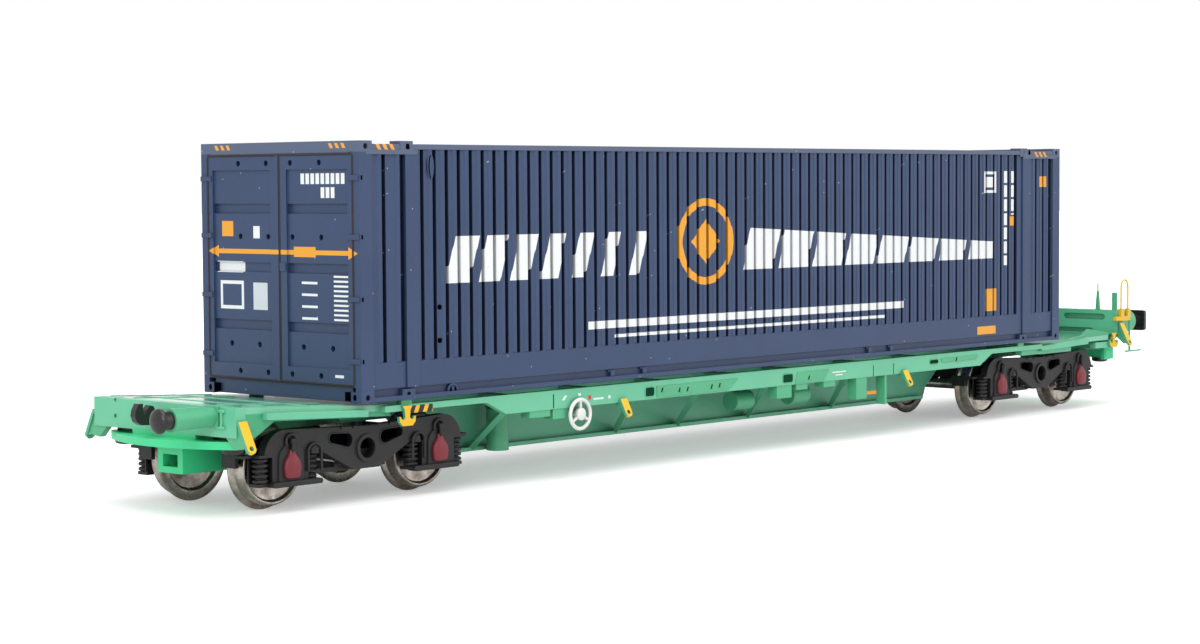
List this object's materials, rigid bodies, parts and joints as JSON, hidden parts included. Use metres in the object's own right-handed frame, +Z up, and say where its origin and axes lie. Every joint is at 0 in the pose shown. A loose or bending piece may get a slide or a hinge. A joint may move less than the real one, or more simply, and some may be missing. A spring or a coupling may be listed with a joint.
{
  "type": "model railway container flat wagon",
  "caption": "Long bogie flat wagon in model railway scale with a lift-off ribbed freight container, low plate end, tall box end, rolling wheelsets and swivelling bogies.",
  "frame": {"origin": "centre of the bounding box in plan, at the lowest points of the wheel flanges", "axes": "+X runs towards the tall outer end, +Y is the left side seen from the inner end, +Z is up"},
  "size_m": [0.2488, 0.0366, 0.0506],
  "materials": {
    "green_plastic": "satin green moulded plastic",
    "bright_green_plastic": "bright green moulded plastic",
    "black_plastic": "black moulded plastic",
    "yellow_plastic": "yellow moulded plastic",
    "white_plastic": "white moulded plastic",
    "orange_plastic": "orange moulded plastic",
    "bogie_black": "matt black moulded plastic",
    "cover_red": "dark red moulded plastic",
    "wheel_steel": "turned steel",
    "axle_steel": "turned steel",
    "container_navy": "satin navy moulded plastic"
  },
  "bodies": {
    "wagon": {"air_tanks": "green_plastic", "brake_boxes": "green_plastic", "brake_cylinders": "green_plastic", "brake_lever": "orange_plastic", "buffer_casings": "green_plastic", "container_seats": "green_plastic", "coupling_pockets": "bright_green_plastic", "cross_members": "green_plastic", "draw_hooks": "black_plastic", "end_posts": "green_plastic", "end_side_plates": "green_plastic", "end_steps": "green_plastic", "eye_gussets": "green_plastic", "handbrake_brackets": "green_plastic", "handbrake_wheels": "white_plastic", "handrails": "yellow_plastic", "inner_buffer_head": "black_plastic", "inner_end_deck": "green_plastic", "inner_headstock": "green_plastic", "lashing_eyes": "yellow_plastic", "outer_buffer_heads": "black_plastic", "outer_end_deck": "green_plastic", "outer_headstock": "green_plastic", "outriggers": "green_plastic", "rope_hooks": "yellow_plastic", "side_ledges": "green_plastic", "side_sills": "green_plastic", "spine": "green_plastic", "valances": "bright_green_plastic"},
    "container": {"container_bottom_rails": "container_navy", "container_castings": "container_navy", "container_corner_posts": "container_navy", "container_end_beams": "container_navy", "container_end_wall": "container_navy", "container_far_door": "container_navy", "container_far_side_wall": "container_navy", "container_floor": "container_navy", "container_lifting_posts": "container_navy", "container_near_door": "container_navy", "container_near_side_wall": "container_navy", "container_roof": "container_navy", "container_top_rails": "container_navy"},
    "bogie_a": {"bogie_a_axlebox_covers": "cover_red", "bogie_a_bolster": "bogie_black", "bogie_a_brake_beams": "bogie_black", "bogie_a_side_frames": "bogie_black", "bogie_a_springs": "bogie_black"},
    "bogie_a_wheelset_1": {"bogie_a_wheelset_1_wheels": "wheel_steel", "bogie_a_wheelset_1_axle": "axle_steel"},
    "bogie_a_wheelset_2": {"bogie_a_wheelset_2_wheels": "wheel_steel", "bogie_a_wheelset_2_axle": "axle_steel"},
    "bogie_b": {"bogie_b_axlebox_covers": "cover_red", "bogie_b_bolster": "bogie_black", "bogie_b_brake_beams": "bogie_black", "bogie_b_side_frames": "bogie_black", "bogie_b_springs": "bogie_black"},
    "bogie_b_wheelset_1": {"bogie_b_wheelset_1_wheels": "wheel_steel", "bogie_b_wheelset_1_axle": "axle_steel"},
    "bogie_b_wheelset_2": {"bogie_b_wheelset_2_wheels": "wheel_steel", "bogie_b_wheelset_2_axle": "axle_steel"}
  },
  "joints": [
    {"name": "bogie_a_swivel", "type": "hinge", "parent": "wagon", "child": "bogie_a", "pos_m": [-0.0897, 0, 0.0096], "axis": [0, 0, 1], "range_deg": [-10, 10]},
    {"name": "bogie_a_wheelset_1_spin", "type": "hinge", "parent": "bogie_a", "child": "bogie_a_wheelset_1", "pos_m": [-0.1037, 0, 0.00605], "axis": [0, 1, 0], "continuous": true},
    {"name": "bogie_a_wheelset_2_spin", "type": "hinge", "parent": "bogie_a", "child": "bogie_a_wheelset_2", "pos_m": [-0.0757, 0, 0.00605], "axis": [0, 1, 0], "continuous": true},
    {"name": "bogie_b_swivel", "type": "hinge", "parent": "wagon", "child": "bogie_b", "pos_m": [0.0853, 0, 0.0096], "axis": [0, 0, 1], "range_deg": [-10, 10]},
    {"name": "bogie_b_wheelset_1_spin", "type": "hinge", "parent": "bogie_b", "child": "bogie_b_wheelset_1", "pos_m": [0.0713, 0, 0.00605], "axis": [0, 1, 0], "continuous": true},
    {"name": "bogie_b_wheelset_2_spin", "type": "hinge", "parent": "bogie_b", "child": "bogie_b_wheelset_2", "pos_m": [0.0993, 0, 0.00605], "axis": [0, 1, 0], "continuous": true},
    {"name": "container_lift", "type": "slide", "parent": "wagon", "child": "container", "axis": [0, 0, 1], "range_m": [0, 0.045]}
  ]
}
